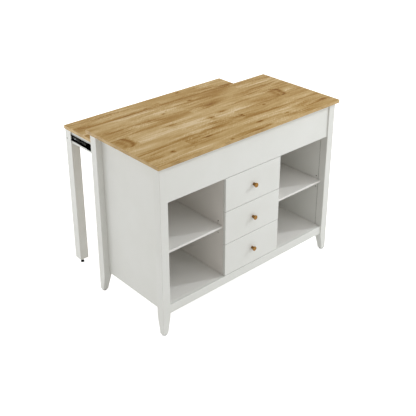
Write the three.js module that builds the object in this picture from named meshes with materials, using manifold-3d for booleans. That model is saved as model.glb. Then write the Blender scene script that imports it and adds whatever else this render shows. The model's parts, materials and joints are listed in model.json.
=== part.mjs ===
// Kitchen island on four tapered posts: a board cabinet with open bays, three drawers in the middle
// and a table that slides out of the back on telescopic slides and stands on two legs of its own.
// Millimetres. +X runs along the length, the drawers face -Y, +Z is up. The origin is on the floor,
// under the centre of the island with its table pulled out.
import * as THREE from "three";
import { mergeVertices } from "three/addons/utils/BufferGeometryUtils.js";
import Module from "manifold-3d";

const wasm = await Module();
wasm.setup();

// ---- driving dimensions ----
const length = 1200; // worktop, left to right
const depth = 550; // worktop, front to back
const height = 900; // floor to the worktop's upper face
const travel = 300; // how far the table pulls out
const topThickness = 17; // oak-faced worktop
const overhang = 15; // worktop beyond the posts, all round
const arris = 1; // eased edge of every board
const seam = 0.2; // joint line between two boards that are fixed together

const postSize = 44; // square section of the cabinet's posts
const footSize = 28; // the same section at the bottom of its taper
const taperStart = 98; // height above the floor where the taper begins
const glideHeight = 8;
const glideRadius = 12;
const glideChamfer = 2;

const panelThickness = 12; // end panels and back panel
const boardThickness = 15; // fascia, rails, floor, ceiling, dividers and drawer fronts
const groundClearance = 110; // floor to the underside of the cabinet
const bottomRailHeight = 47;
const fasciaHeight = 182; // false front that hides the table when it is in
const fasciaSetback = 6; // fascia and drawer fronts behind the posts' faces
const ceilingLift = 3; // ceiling of the bays above the fascia's lower edge
const rearRailHeight = 62; // rail under the worktop's back edge, over the table

const stackWidth = 374; // the three drawer fronts
const frontGap = 3; // open line round the drawer fronts
const bumperGap = 2; // drawer front to the dividers behind it

const shelfThickness = 12;
const shelfSetback = 5; // shelf behind the dividers' front edges
const shelfPlay = 1; // shelf to each side of its bay, and to the back
const pinRadius = 3.2;
const pinLength = 8;
const pinInset = 30; // pins from the shelf's front and back edges
const pinPitch = 32; // spare holes above and below each pin
const spareHoleDepth = 8;
const quirkWidth = 1.5; // shadow groove where an end panel meets a post, on the bay's side
const quirkDepth = 4;

const drawerCount = 3;
const drawerDepth = 380; // drawer sides, front to back
const drawerBoxHeight = 110;
const drawerBoxLift = 22; // drawer sides above the front's lower edge
const drawerWall = 12;
const drawerBottom = 4;
const grooveDepth = 5; // how far the bottom runs into the sides
const grooveLift = 10; // groove above the sides' lower edge
const grooveClearance = 0.25;
const runnerLength = 350;
const runnerHeight = 27;

const channelWall = 1.5; // steel of every slide member
const channelBend = 2.5; // outside radius of its bends
const bendSegments = 2;
const slideWidth = 12.7; // side space that every slide and runner fills
const runningGap = 0.3; // between members that slide in each other
const tipRelief = 0.5; // flanges that reach into a bend stop this much shorter
const slideLength = 400;
const slideHeight = 35;
const slideBackset = -3; // table slides in front of the end panels' back edges, so a little behind
const slotWidth = 4; // row of slots along the table's slide member
const slotHeight = 13;
const slotPitch = 10;
const slotMargin = 14; // plain steel at each end of the row

const tableThickness = 17;
const tableDrop = 71; // table's upper face under the worktop's lower face
const tableSide = 4; // table top to the end panel at each side
const tableDepth = 480;
const legSize = 50;
const legInset = 3; // leg's outer face in from the table top's end
const legBackset = 5; // leg's back face in from the table top's back edge
const apronHeight = 67;
const backApronInset = 12; // back apron in from the legs' back faces
const frontRailHeight = 45; // rail between the side aprons' front ends
const apronStart = 10; // side aprons behind the table top's front edge
const levellerHeight = 30; // floor to the underside of the table's legs
const levellerRadius = 10;
const levellerChamfer = 1;
const levellerLip = 5; // straight rim of the foot
const collarLift = 2; // the pad rises this much from its rim to the collar
const collarTop = 12; // height above the floor
const collarRadius = 6;
const stemRadius = 4;
const stemLength = 24; // stem inside the leg

const knobLength = 20.5;
const knobFront = 12; // radius
const knobBase = 7.5; // radius
const knobRim = 1; // eased rim of the knob

// sides of the polygons that stand for circles
const pinSides = 10;
const footSides = 16;
const knobSides = 28;

// ---- places worked out from them, in the cabinet's own frame (its centre on the floor) ----
const worktopUnderside = height - topThickness;
const postX = length / 2 - overhang; // outer faces of the posts
const postY = depth / 2 - overhang;
const innerX = postX - postSize; // inner faces of the posts and end panels
const innerY = postY - postSize;
const frontY = fasciaSetback - postY; // face of the fascia, the rail and the drawer fronts
const carcassFront = frontY + boardThickness; // back of those boards
const dividerFront = carcassFront + bumperGap;
const backPanelFront = innerY - panelThickness;
const fasciaBottom = worktopUnderside - fasciaHeight;
const ceilingBottom = fasciaBottom + ceilingLift;
const floorTop = groundClearance + bottomRailHeight;
const dividerOuter = stackWidth / 2;
const dividerInner = dividerOuter - boardThickness;
const shelfFront = dividerFront + shelfSetback;
const shelfBack = backPanelFront - shelfPlay;
const shelfBottom = (floorTop + ceilingBottom - shelfThickness) / 2;
const pinZ = shelfBottom - pinRadius - seam;
const pinYs = [shelfFront + pinInset, shelfBack - pinInset];
const drawerPitch = (fasciaBottom - floorTop - frontGap) / drawerCount;
const tableTopZ = worktopUnderside - tableDrop;
const tableUnderside = tableTopZ - tableThickness;
const apronOuter = innerX - slideWidth;
const slideZ = tableUnderside - apronHeight / 2;
const tableX = innerX - tableSide;
const tableBack = depth / 2;
const tableFront = tableBack - tableDepth;
const legOuter = tableX - legInset;
const legInner = legOuter - legSize;
const legBack = tableBack - legBackset;
const legFront = legBack - legSize;
const slideBack = innerY - slideBackset;
const outerReach = slideWidth - 2 * seam - channelWall - runningGap; // flanges of an outer member
const step = channelWall + runningGap; // from one member's back to the next one nested in it

// ---- finishes ----
const whitePaint = { color: "#dcddd8", roughness: 0.45, metalness: 0 };
const oakLaminate = { color: "#bf9f6c", roughness: 0.5, metalness: 0 };
const brushedBrass = { color: "#b07f3c", roughness: 0.32, metalness: 1 };
const blackSteel = { color: "#1c1c1d", roughness: 0.4, metalness: 0.7 };
const zincSteel = { color: "#a9abad", roughness: 0.35, metalness: 0.9 };
const greyPlastic = { color: "#8d8e8b", roughness: 0.6, metalness: 0 };
const blackPlastic = { color: "#202020", roughness: 0.55, metalness: 0 };

// ---- helpers ----
function piece(name, finish, geometry) {
  const mesh = new THREE.Mesh(geometry, new THREE.MeshStandardMaterial(finish));
  mesh.name = name;
  return mesh;
}

function solid(geometry) {
  const bare = geometry.clone().deleteAttribute("normal").deleteAttribute("uv");
  const merged = mergeVertices(bare, 1e-3);
  return new wasm.Manifold(
    new wasm.Mesh({
      numProp: 3,
      vertProperties: merged.attributes.position.array,
      triVerts: new Uint32Array(merged.index.array),
    }),
  );
}

function surface(manifold) {
  const mesh = manifold.getMesh();
  const geometry = new THREE.BufferGeometry();
  geometry.setAttribute("position", new THREE.BufferAttribute(mesh.vertProperties, 3));
  geometry.setIndex(new THREE.BufferAttribute(mesh.triVerts, 1));
  const flat = geometry.toNonIndexed();
  flat.computeVertexNormals();
  return flat;
}

// A closed solid of revolution about +Z from [radius, height] points that start and end on the axis.
function turned(points, segments) {
  const profile = points.map(([r, z]) => new THREE.Vector2(r, z));
  return new THREE.LatheGeometry(profile, segments).rotateX(Math.PI / 2);
}

function rectangle(width, tall) {
  return new THREE.Shape([
    new THREE.Vector2(-width / 2, -tall / 2),
    new THREE.Vector2(width / 2, -tall / 2),
    new THREE.Vector2(width / 2, tall / 2),
    new THREE.Vector2(-width / 2, tall / 2),
  ]);
}

// A sawn board about the origin, extruded through its thickness with eased edges.
function boardGeometry(sizeX, sizeY, sizeZ) {
  const thickness = Math.min(sizeX, sizeY, sizeZ);
  const ease = {
    depth: thickness - 2 * arris,
    bevelEnabled: true,
    bevelThickness: arris,
    bevelSize: arris,
    bevelOffset: -arris,
    bevelSegments: 1,
  };
  const extruded = (w, h) =>
    new THREE.ExtrudeGeometry(rectangle(w, h), ease).translate(0, 0, arris - thickness / 2);
  if (thickness === sizeZ) return extruded(sizeX, sizeY);
  if (thickness === sizeY) return extruded(sizeX, sizeZ).rotateX(Math.PI / 2);
  return extruded(sizeZ, sizeY).rotateY(Math.PI / 2);
}

// The same board between two places on each axis.
function board(name, finish, [x0, x1], [y0, y1], [z0, z1]) {
  const mesh = piece(name, finish, boardGeometry(x1 - x0, y1 - y0, z1 - z0));
  mesh.position.set((x0 + x1) / 2, (y0 + y1) / 2, (z0 + z1) / 2);
  return mesh;
}

// A closed solid through rings of points that all run anticlockwise, from the lowest ring up.
function loft(rings) {
  const count = rings[0].length;
  const index = [];
  for (let i = 0; i < count; i++) {
    const next = (i + 1) % count;
    for (let base = 0; base < (rings.length - 1) * count; base += count) {
      index.push(base + i, base + next, base + count + next);
      index.push(base + i, base + count + next, base + count + i);
    }
  }
  const top = (rings.length - 1) * count;
  for (let i = 1; i < count - 1; i++) {
    index.push(0, i + 1, i, top, top + i, top + i + 1);
  }
  const geometry = new THREE.BufferGeometry();
  geometry.setAttribute("position", new THREE.Float32BufferAttribute(rings.flat(2), 3));
  geometry.setIndex(index);
  const flat = geometry.toNonIndexed();
  flat.computeVertexNormals();
  return flat;
}

// A square section with eased corners, whose outer corner stays at the origin.
function cornerRing(size, z) {
  const far = size - arris;
  return [
    [arris, 0, z],
    [far, 0, z],
    [size, arris, z],
    [size, far, z],
    [far, size, z],
    [arris, size, z],
    [0, far, z],
    [0, arris, z],
  ];
}

// A folded steel channel along Y: its web's back at x = 0, its flanges reaching towards +x.
function channelGeometry(tall, reach, run) {
  const half = tall / 2;
  const centre = half - channelBend;
  const inside = channelBend - channelWall;
  const section = new THREE.Shape();
  section.moveTo(reach, -half);
  section.lineTo(channelBend, -half);
  section.absarc(channelBend, -centre, channelBend, -Math.PI / 2, -Math.PI, true);
  section.absarc(channelBend, centre, channelBend, Math.PI, Math.PI / 2, true);
  section.lineTo(reach, half);
  section.lineTo(reach, half - channelWall);
  section.absarc(channelBend, centre, inside, Math.PI / 2, Math.PI, false);
  section.absarc(channelBend, -centre, inside, Math.PI, 1.5 * Math.PI, false);
  section.lineTo(reach, channelWall - half);
  const options = { depth: run, bevelEnabled: false, curveSegments: bendSegments };
  const extruded = new THREE.ExtrudeGeometry(section, options).translate(0, 0, -run / 2);
  return extruded.rotateX(Math.PI / 2);
}

// Places a channel whose web's back stands at x and whose flanges reach to the left or right.
function channel(name, finish, geometry, facing, x, y, z) {
  const mesh = piece(name, finish, geometry);
  mesh.rotation.z = facing > 0 ? 0 : Math.PI;
  mesh.position.set(x, y, z);
  return mesh;
}

// The same channel with a row of upright slots through its web.
function slottedChannelGeometry(tall, reach, run) {
  let channelSolid = solid(channelGeometry(tall, reach, run));
  const count = Math.floor((run - 2 * slotMargin) / slotPitch) + 1;
  for (let i = 0; i < count; i++) {
    const cutter = new THREE.BoxGeometry(2 * channelWall, slotWidth, slotHeight);
    cutter.translate(channelWall / 2, (i - (count - 1) / 2) * slotPitch, 0);
    channelSolid = channelSolid.subtract(solid(cutter));
  }
  return surface(channelSolid);
}

// ---- cabinet ----
const island = new THREE.Group();
const cabinet = new THREE.Group();
cabinet.position.y = -travel / 2;
island.add(cabinet);

const sides = { left: -1, right: 1 };
const span = (side, from, to) => [side * from, side * to].sort((a, b) => a - b);

cabinet.add(
  board(
    "worktop",
    oakLaminate,
    [-length / 2, length / 2],
    [-depth / 2, depth / 2],
    [worktopUnderside, height],
  ),
);

// The four posts are one piece, turned a quarter further at each corner.
const postGeometry = loft([
  cornerRing(footSize, glideHeight),
  cornerRing(postSize, taperStart),
  cornerRing(postSize, worktopUnderside - seam),
]);
const glideGeometry = turned(
  [
    [0, 0],
    [glideRadius - glideChamfer, 0],
    [glideRadius, glideChamfer],
    [glideRadius, glideHeight - seam],
    [0, glideHeight - seam],
  ],
  footSides,
);
const corners = {
  front_left: [-1, -1],
  front_right: [1, -1],
  back_right: [1, 1],
  back_left: [-1, 1],
};
Object.entries(corners).forEach(([corner, [sideX, sideY]], quarter) => {
  const post = piece("post_" + corner, whitePaint, postGeometry);
  post.position.set(sideX * postX, sideY * postY, 0);
  post.rotation.z = (quarter * Math.PI) / 2;
  const glide = piece("glide_" + corner, greyPlastic, glideGeometry);
  glide.position.set(footSize / 2, footSize / 2, 0);
  post.add(glide);
  cabinet.add(post);
});

// A board with the bay's shelf pins standing out of one face, spare holes above and below them and,
// where it is asked for, a shadow groove down each upright edge of that face.
function pinnedBoard(name, [x0, x1], [y0, y1], [z0, z1], towardsBay, grooved) {
  const centre = [(x0 + x1) / 2, (y0 + y1) / 2, (z0 + z1) / 2];
  const face = (towardsBay * (x1 - x0)) / 2;
  const rod = (run, x, y, z) =>
    solid(
      new THREE.CylinderGeometry(pinRadius, pinRadius, run, pinSides)
        .rotateZ(Math.PI / 2)
        .translate(x, y - centre[1], z - centre[2]),
    );
  let body = solid(boardGeometry(x1 - x0, y1 - y0, z1 - z0));
  if (grooved) {
    for (const edge of [(y0 - y1) / 2, (y1 - y0) / 2]) {
      const cutter = new THREE.BoxGeometry(2 * quirkDepth, 2 * quirkWidth, 2 * (z1 - z0));
      body = body.subtract(solid(cutter.translate(face, edge, 0)));
    }
  }
  for (const y of pinYs) {
    const rooted = pinLength + arris;
    body = body.add(rod(rooted, face + (towardsBay * (pinLength - arris)) / 2, y, pinZ));
    for (const z of [pinZ - pinPitch, pinZ + pinPitch]) {
      body = body.subtract(rod(2 * spareHoleDepth, face, y, z));
    }
  }
  const mesh = piece(name, whitePaint, surface(body));
  mesh.position.set(...centre);
  return mesh;
}

for (const [name, side] of Object.entries(sides)) {
  cabinet.add(
    pinnedBoard(
      "end_panel_" + name,
      span(side, innerX, innerX + panelThickness),
      [seam - innerY, innerY - seam],
      [groundClearance, worktopUnderside - seam],
      -side,
      true,
    ),
    pinnedBoard(
      "divider_" + name,
      span(side, dividerInner, dividerOuter),
      [dividerFront, backPanelFront - seam],
      [floorTop + seam, ceilingBottom - seam],
      side,
      false,
    ),
    board(
      "shelf_" + name,
      whitePaint,
      span(side, dividerOuter + shelfPlay, innerX - shelfPlay),
      [shelfFront, shelfBack],
      [shelfBottom, shelfBottom + shelfThickness],
    ),
  );
}

const betweenEnds = [seam - innerX, innerX - seam];
const frontBoard = [frontY, carcassFront];
const carcassDepth = [carcassFront + seam, backPanelFront - seam];
cabinet.add(
  board("fascia", whitePaint, betweenEnds, frontBoard, [fasciaBottom, worktopUnderside - seam]),
  board("bottom_rail", whitePaint, betweenEnds, frontBoard, [groundClearance, floorTop]),
  board("floor_panel", whitePaint, betweenEnds, carcassDepth, [floorTop - boardThickness, floorTop]),
  board("ceiling_panel", whitePaint, betweenEnds, carcassDepth, [
    ceilingBottom,
    ceilingBottom + boardThickness,
  ]),
  board("back_panel", whitePaint, betweenEnds, [backPanelFront, innerY], [
    groundClearance,
    ceilingBottom + boardThickness,
  ]),
  board(
    "rear_rail",
    whitePaint,
    betweenEnds,
    [-carcassFront, -frontY],
    [worktopUnderside - rearRailHeight, worktopUnderside - seam],
  ),
);

// ---- drawers ----
const boxHalf = dividerInner - slideWidth;
const runnerZ = drawerBoxLift + drawerBoxHeight / 2;
const runnerMiddle = dividerFront + seam + runnerLength / 2;
const runnerOuter = channelGeometry(runnerHeight, outerReach, runnerLength);
const runnerInner = channelGeometry(runnerHeight - 2 * step, outerReach - tipRelief, runnerLength);
const knobGeometry = turned(
  [
    [0, 0],
    [knobBase, 0],
    [knobFront, knobLength - knobRim],
    [knobFront - knobRim, knobLength],
    [0, knobLength],
  ],
  knobSides,
).rotateX(Math.PI / 2);

// The drawer's two sides and its back, one board folded round the bottom, which lies in its groove.
function wrapGeometry() {
  const inside = boxHalf - drawerWall;
  const back = drawerDepth - drawerWall;
  const outline = new THREE.Shape();
  outline.moveTo(-boxHalf, 0);
  outline.lineTo(-inside, 0);
  outline.lineTo(-inside, back);
  outline.lineTo(inside, back);
  outline.lineTo(inside, 0);
  outline.lineTo(boxHalf, 0);
  outline.lineTo(boxHalf, drawerDepth);
  outline.lineTo(-boxHalf, drawerDepth);
  const walls = new THREE.ExtrudeGeometry(outline, { depth: drawerBoxHeight, bevelEnabled: false });
  const grooveTall = drawerBottom + 2 * grooveClearance;
  const reach = inside + grooveDepth;
  const groove = new THREE.BoxGeometry(2 * reach, 2 * (back + grooveDepth), grooveTall);
  groove.translate(0, 0, grooveLift + grooveTall / 2);
  return surface(solid(walls).subtract(solid(groove)));
}
const wrap = wrapGeometry();

["bottom", "middle", "top"].forEach((level, row) => {
  const prefix = "drawer_" + level + "_";
  const drawer = new THREE.Group();
  drawer.position.z = floorTop + row * drawerPitch;
  cabinet.add(drawer);
  const sidesMesh = piece(prefix + "sides", whitePaint, wrap);
  const bottomHalf = boxHalf - drawerWall + grooveDepth - grooveClearance;
  const bottomLift = drawerBoxLift + grooveLift + grooveClearance;
  const wrapFront = carcassFront + seam;
  sidesMesh.position.set(0, wrapFront, drawerBoxLift);
  const bottomBack = wrapFront + drawerDepth - drawerWall + grooveDepth - grooveClearance;
  const knob = piece(prefix + "knob", brushedBrass, knobGeometry);
  knob.position.set(0, frontY - seam, (frontGap + drawerPitch) / 2);
  drawer.add(
    board(
      prefix + "front",
      whitePaint,
      [-dividerOuter, dividerOuter],
      frontBoard,
      [frontGap, drawerPitch],
    ),
    sidesMesh,
    board(
      prefix + "bottom_board",
      whitePaint,
      [-bottomHalf, bottomHalf],
      [wrapFront, bottomBack],
      [bottomLift, bottomLift + drawerBottom],
    ),
    knob,
  );
  for (const [name, side] of Object.entries(sides)) {
    drawer.add(
      channel(
        prefix + "guide_" + name,
        zincSteel,
        runnerOuter,
        -side,
        side * (dividerInner - seam),
        runnerMiddle,
        runnerZ,
      ),
      channel(
        prefix + "runner_" + name,
        zincSteel,
        runnerInner,
        side,
        side * (boxHalf + seam),
        runnerMiddle,
        runnerZ,
      ),
    );
  }
});

// ---- table that slides out of the back, drawn in its closed place and pulled out by its travel ----
const table = new THREE.Group();
const slideMiddles = new THREE.Group();
table.position.y = travel;
slideMiddles.position.y = travel / 2;
cabinet.add(table, slideMiddles);

const apronBottom = tableUnderside - apronHeight;
const apronInner = apronOuter - boardThickness;
const underTable = [apronBottom, tableUnderside - seam];
const backApronBack = legBack - backApronInset;
table.add(
  board("table_top", oakLaminate, [-tableX, tableX], [tableFront, tableBack], [tableUnderside, tableTopZ]),
  board(
    "table_back_apron",
    whitePaint,
    [seam - legInner, legInner - seam],
    [backApronBack - boardThickness, backApronBack],
    underTable,
  ),
  board(
    "table_front_rail",
    whitePaint,
    [seam - apronInner, apronInner - seam],
    [tableFront + apronStart, tableFront + apronStart + boardThickness],
    [tableUnderside - frontRailHeight, tableUnderside - seam],
  ),
);

const legHeight = tableUnderside - seam - levellerHeight;
const boreRadius = stemRadius + runningGap;
const bore = new THREE.CylinderGeometry(
  boreRadius,
  boreRadius,
  2 * (stemLength + runningGap),
  footSides,
);
bore.rotateX(Math.PI / 2).translate(legSize / 2, legSize / 2, 0);
const legGeometry = surface(
  solid(loft([cornerRing(legSize, 0), cornerRing(legSize, legHeight)])).subtract(solid(bore)),
);
const levellerGeometry = turned(
  [
    [0, 0],
    [levellerRadius - levellerChamfer, 0],
    [levellerRadius, levellerChamfer],
    [levellerRadius, levellerLip],
    [collarRadius, levellerLip + collarLift],
    [collarRadius, collarTop],
    [stemRadius, collarTop],
    [stemRadius, levellerHeight + stemLength],
    [0, levellerHeight + stemLength],
  ],
  footSides,
);
const middleTall = slideHeight - 2 * step;
const slideOuter = channelGeometry(slideHeight, outerReach, slideLength);
const slideMiddle = channelGeometry(middleTall, outerReach - step, slideLength);
const slideInner = slottedChannelGeometry(
  middleTall - 2 * step,
  outerReach - step - tipRelief,
  slideLength,
);
const slideCentre = slideBack - slideLength / 2;

for (const [name, side] of Object.entries(sides)) {
  const leg = piece("table_leg_" + name, whitePaint, legGeometry);
  leg.position.set(side < 0 ? -legOuter : legInner, legFront, levellerHeight);
  const leveller = piece("leveller_" + name, blackPlastic, levellerGeometry);
  leveller.position.set(side * (legOuter - legSize / 2), legFront + legSize / 2, 0);
  table.add(
    leg,
    leveller,
    board(
      "table_side_apron_" + name,
      whitePaint,
      span(side, apronInner, apronOuter),
      [tableFront + apronStart, legFront - seam],
      underTable,
    ),
    channel(
      "table_slide_inner_" + name,
      blackSteel,
      slideInner,
      side,
      side * (apronOuter + seam),
      slideCentre,
      slideZ,
    ),
  );
  slideMiddles.add(
    channel(
      "table_slide_middle_" + name,
      blackSteel,
      slideMiddle,
      -side,
      side * (innerX - seam - step),
      slideCentre,
      slideZ,
    ),
  );
  cabinet.add(
    channel(
      "table_slide_outer_" + name,
      blackSteel,
      slideOuter,
      -side,
      side * (innerX - seam),
      slideCentre,
      slideZ,
    ),
  );
}

export default island;
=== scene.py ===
# %% [markdown]
# # A kitchen island with a slide-out table
#
# The real thing is flat-packed furniture: white lacquered boards on four tapered posts, oak-faced
# tops, three small drawers with brass knobs, and a table that rolls out of the back on black steel
# slides. The boards come from the CAD frame, which already has the right sizes. This script dresses
# them with finishes, and swaps the pieces whose beauty is in their curves and small parts: the two
# tops, the knobs, the feet and the shelf pins. It also adds what the CAD leaves out because it is
# too small to cut: the screws and the bolt caps. Thin grey strips of painted shadow lie in the
# grooves where boards meet, and draw the lines that the shade in those grooves would.

# %% Load the frame
import json
import math

import bpy
import numpy as np
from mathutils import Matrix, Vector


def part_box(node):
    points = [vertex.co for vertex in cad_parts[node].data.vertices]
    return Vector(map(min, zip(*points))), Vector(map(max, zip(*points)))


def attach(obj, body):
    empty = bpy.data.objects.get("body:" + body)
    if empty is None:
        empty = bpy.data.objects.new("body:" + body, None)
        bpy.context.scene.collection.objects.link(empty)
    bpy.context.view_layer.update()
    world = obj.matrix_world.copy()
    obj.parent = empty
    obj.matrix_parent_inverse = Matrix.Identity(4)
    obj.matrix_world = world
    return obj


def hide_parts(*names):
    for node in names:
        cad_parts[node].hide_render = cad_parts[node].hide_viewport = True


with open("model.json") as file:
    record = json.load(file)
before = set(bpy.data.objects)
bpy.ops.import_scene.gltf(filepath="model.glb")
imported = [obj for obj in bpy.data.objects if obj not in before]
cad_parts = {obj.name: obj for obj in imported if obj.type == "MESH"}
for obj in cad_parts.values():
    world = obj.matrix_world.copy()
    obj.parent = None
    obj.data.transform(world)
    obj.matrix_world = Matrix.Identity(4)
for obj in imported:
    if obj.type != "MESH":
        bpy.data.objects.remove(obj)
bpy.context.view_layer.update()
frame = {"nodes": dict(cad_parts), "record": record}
nodes = frame["nodes"]
MM = 0.001

# %% [markdown]
# ## The camera
#
# A product picture of furniture is taken from above eye height, some way off, so that its
# upright lines stay nearly parallel. The lens could be left level and shifted, as an architect
# does. Here most of the tilt is real and a small shift does the rest, because the same shift
# follows the camera to every other view, where a large one would push the island out of the frame.

# %% Camera
FRAME_PIXELS = 416
FOCAL_PIXELS = 746.0
PRINCIPAL_ROW = 146.0  # where the lens axis meets the picture, in pixels from its top
CAMERA_PLACE = (-2.329, -2.652, 2.277)  # metres
CAMERA_YAW, CAMERA_PITCH = math.radians(42.07), math.radians(24.41)

camera_data = bpy.data.cameras.new("camera")
camera_data.sensor_width = 36.0
camera_data.lens = FOCAL_PIXELS / FRAME_PIXELS * camera_data.sensor_width
camera_data.shift_y = (PRINCIPAL_ROW - FRAME_PIXELS / 2) / FRAME_PIXELS
camera = bpy.data.objects.new("camera", camera_data)
camera.location = CAMERA_PLACE
camera.rotation_euler = (math.pi / 2 - CAMERA_PITCH, 0, -CAMERA_YAW)
bpy.context.scene.collection.objects.link(camera)
bpy.context.scene.camera = camera
bpy.context.scene.view_settings.view_transform = "Standard"
print("lens %.1f mm, shift %.3f" % (camera_data.lens, camera_data.shift_y))

# %% [markdown]
# ## Colours
#
# A paint chart gives colours as hex codes made for a screen, and a renderer mixes light in linear
# numbers. The colour picker turns the first into the second without a word; a script has to do it
# itself. One function does so here, and every colour below stays a hex code that can be compared
# with a chart.

# %% Colours
def linear(code):
    """A hex colour as linear red, green and blue: a channel is divided by 12.92 in its darkest
    part, and elsewhere raised by 0.055, divided by 1.055 and taken to the power 2.4."""
    c = np.array([int(code[i : i + 2], 16) for i in (1, 3, 5)]) / 255
    c = np.where(c <= 0.04045, c / 12.92, ((c + 0.055) / 1.055) ** 2.4)
    return (*c.tolist(), 1.0)


print("white paint in linear light:", [round(v, 3) for v in linear("#E7E8E4")[:3]])

# %% [markdown]
# ## Nodes
#
# Every finish below is a small network of nodes. They could be laid out by hand in the editor; one
# function that adds a node with its settings and its links keeps each network readable from top to
# bottom. Streaks and grain have real sizes, so every finish starts from a place in millimetres.

# %% Nodes
def add(tree, kind, inputs=(), stops=None, **settings):
    """Adds one node. Inputs are constants or outputs, in order or by name, and a node among them
    stands for its first output. Settings are the node's own properties. Stops are the (place, hex
    colour) pairs of a colour ramp."""
    node = tree.nodes.new("ShaderNode" + kind)
    for key, value in settings.items():
        setattr(node, key, value)
    if stops:
        ramp = node.color_ramp.elements
        ramp[0].position, ramp[1].position = stops[0][0], stops[-1][0]
        for place, _ in stops[1:-1]:
            ramp.new(place)
        for element, (_, code) in zip(ramp, stops):
            element.color = linear(code)
    for key, value in inputs.items() if isinstance(inputs, dict) else enumerate(inputs):
        source = value.outputs[0] if isinstance(value, bpy.types.Node) else value
        if isinstance(source, bpy.types.NodeSocket):
            tree.links.new(source, node.inputs[key])
        else:
            node.inputs[key].default_value = source
    return node


def finish(name):
    """An empty material, its node tree, and a node that gives its place in millimetres."""
    material = bpy.data.materials.new(name)
    material.use_nodes = True
    tree = material.node_tree
    tree.nodes.clear()
    place = add(tree, "TexCoord").outputs["Object"]
    return material, tree, add(tree, "VectorMath", {0: place, "Scale": 1 / MM}, operation="SCALE")


print("tools for finishes:", add.__name__, finish.__name__)

# %% [markdown]
# ## The room
#
# A catalogue picture has no visible room. The world turns white for the eye and for reflections
# through the Light Path node, and gives the furniture a plain amount of light otherwise. A world
# with one strength for everything would be either too grey to look at or too bright to show the
# shape of white boards.

# %% World
def seen_white(tree):
    """One where the ray comes from the camera, a mirror or a glass, which then see plain white."""
    ray = add(tree, "LightPath").outputs
    direct = add(tree, "Math", [ray["Is Camera Ray"], ray["Is Glossy Ray"]], operation="MAXIMUM")
    return add(tree, "Math", [direct, ray["Is Transmission Ray"]], operation="MAXIMUM")


ROOM_STRENGTH = 0.545
ROOM_TINT = (1.0, 0.965, 0.94, 1.0)  # bounced light is a little warmer than white
WHITE = (1.0, 1.0, 1.0, 1.0)

world = bpy.data.worlds.new("studio")
world.use_nodes = True
bpy.context.scene.world = world
sky = world.node_tree
sky.nodes.clear()
lit = add(sky, "Background", [ROOM_TINT, ROOM_STRENGTH])
seen = add(sky, "Background", [WHITE, 1.0])
add(sky, "OutputWorld", {"Surface": add(sky, "MixShader", [seen_white(sky), lit, seen])})
print("world:", len(sky.nodes), "nodes, strength", ROOM_STRENGTH)

# %% [markdown]
# ## The floor
#
# The furniture stands on a sweep of white paper, which bounces light up under the boards and keeps
# a faint shadow round the feet. Strong lamps could burn the paper white, but they would burn the
# white paint too, so it glows a little, for the eye alone.

# %% Floor
FLOOR_LIFT = 0.80  # the eye sees the floor this much lighter than its shade: a faint shadow stays
FLOOR = 9.0  # half its side, metres

sweep = bpy.data.materials.new("white_sweep")
sweep.use_nodes = True
paper = sweep.node_tree
paper.nodes.clear()
matt = add(paper, "BsdfDiffuse", {"Color": linear("#E8E8E6")})
lift = add(paper, "Math", [seen_white(paper), FLOOR_LIFT], operation="MULTIPLY")
glow = add(paper, "Emission", {"Color": WHITE, "Strength": lift})
add(paper, "OutputMaterial", {"Surface": add(paper, "AddShader", [matt, glow])})

floor_mesh = bpy.data.meshes.new("floor")
floor_corners = [(-FLOOR, -FLOOR, 0), (FLOOR, -FLOOR, 0), (FLOOR, FLOOR, 0), (-FLOOR, FLOOR, 0)]
floor_mesh.from_pydata(floor_corners, [], [(0, 1, 2, 3)])
floor_mesh.materials.append(sweep)
floor = bpy.data.objects.new("floor", floor_mesh)
bpy.context.scene.collection.objects.link(floor)
print("floor:", 2 * FLOOR, "m wide")

# %% [markdown]
# ## The lamps
#
# The key lamp stands to the right and in front, low enough to reach under the fascia: each upright
# board throws a slanting shadow across its shelf and leaves a lit wedge at the front, and each knob
# throws one down to the left. It is small for its distance, so those edges stay crisp. Three broad
# lamps, in front, at the left and behind, lift the faces that look away from the key. The left one
# stands near, so that the end panel grows lighter towards the back. The light of the room fills the
# rest. It is a little warmer than the lamps, which turns the shade inside the bays warm and leaves
# lit paint white. One large lamp overhead would light the top as well, but would draw a dark band
# under its overhang.

# %% Lamps
LAMP_TINT = (0.985, 1.025, 1.055)
MIDDLE_HEIGHT = 0.5  # of the island, metres


def lamp(name, towards, distance, size, power):
    """A square area lamp at a distance along a direction from the island's middle, facing it. It
    shines down its own -Z, so it is tilted by the direction's angle from the vertical and turned
    to the direction's bearing."""
    data = bpy.data.lights.new(name, "AREA")
    data.shape = "SQUARE"
    data.size = size
    data.energy = power
    data.color = LAMP_TINT
    item = bpy.data.objects.new(name, data)
    direction = np.array(towards) / np.linalg.norm(towards)
    item.location = (direction * distance + (0, 0, MIDDLE_HEIGHT)).tolist()
    item.rotation_euler = (math.acos(direction[2]), 0, math.atan2(direction[0], -direction[1]))
    bpy.context.scene.collection.objects.link(item)


# Name, direction from the middle, distance and side in metres, and power in watts.
LAMPS = [
    ("key", (0.90, -0.46, 0.54), 9.0, 0.5, 240.0),
    ("front", (0.50, -1.00, 0.80), 3.5, 2.5, 23.0),
    ("left", (-0.85, 0.55, 0.12), 3.0, 2.0, 16.0),
    ("behind", (-0.20, 1.00, 0.20), 5.0, 3.0, 92.0),
]
for settings in LAMPS:
    lamp(*settings)
print("lamps:", [(settings[0], settings[-1]) for settings in LAMPS])
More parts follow.
